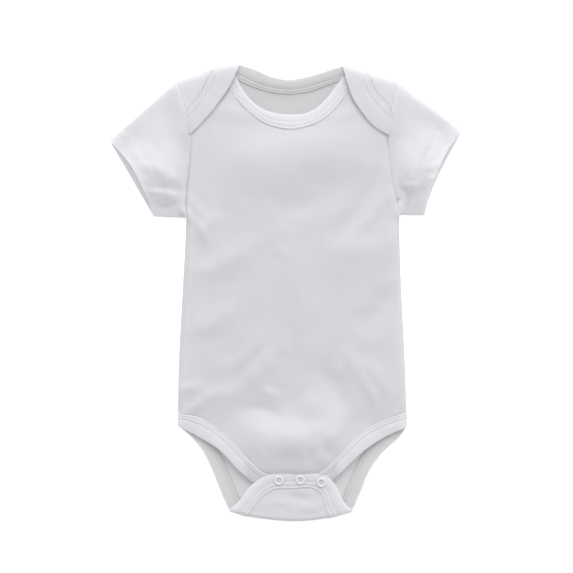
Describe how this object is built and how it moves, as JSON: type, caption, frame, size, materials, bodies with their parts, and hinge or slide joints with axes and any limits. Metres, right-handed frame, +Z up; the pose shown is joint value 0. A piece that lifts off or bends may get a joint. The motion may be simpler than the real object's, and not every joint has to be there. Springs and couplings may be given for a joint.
{
  "type": "baby bodysuit",
  "caption": "Short-sleeved cotton baby bodysuit with lapped shoulders and a snap crotch, laid flat with its front up.",
  "frame": {"origin": "centre of the bounding box, on the surface that the garment lies on", "axes": "+X across the garment towards its left arm as worn, +Y from the crotch to the neck, +Z up, out of the front"},
  "size_m": [0.3086, 0.3997, 0.0162],
  "materials": {
    "white_knit": "soft matt cotton interlock knit, white with a faint cool tint",
    "white_binding": "folded knit binding, coverstitched, white",
    "white_snap": "white enamelled ring snaps, satin"
  },
  "bodies": {
    "root": {"front_body": "white_knit", "back_body": "white_knit", "sleeve_left": "white_knit", "sleeve_right": "white_knit", "front_neck_binding": "white_binding", "back_neck_binding": "white_binding", "front_leg_binding": "white_binding", "back_leg_binding": "white_binding", "snap_cap_left": "white_snap", "snap_socket_left": "white_snap", "snap_stud_left": "white_snap", "snap_rear_left": "white_snap", "snap_cap_middle": "white_snap", "snap_socket_middle": "white_snap", "snap_stud_middle": "white_snap", "snap_rear_middle": "white_snap", "snap_cap_right": "white_snap", "snap_socket_right": "white_snap", "snap_stud_right": "white_snap", "snap_rear_right": "white_snap"}
  },
  "joints": []
}
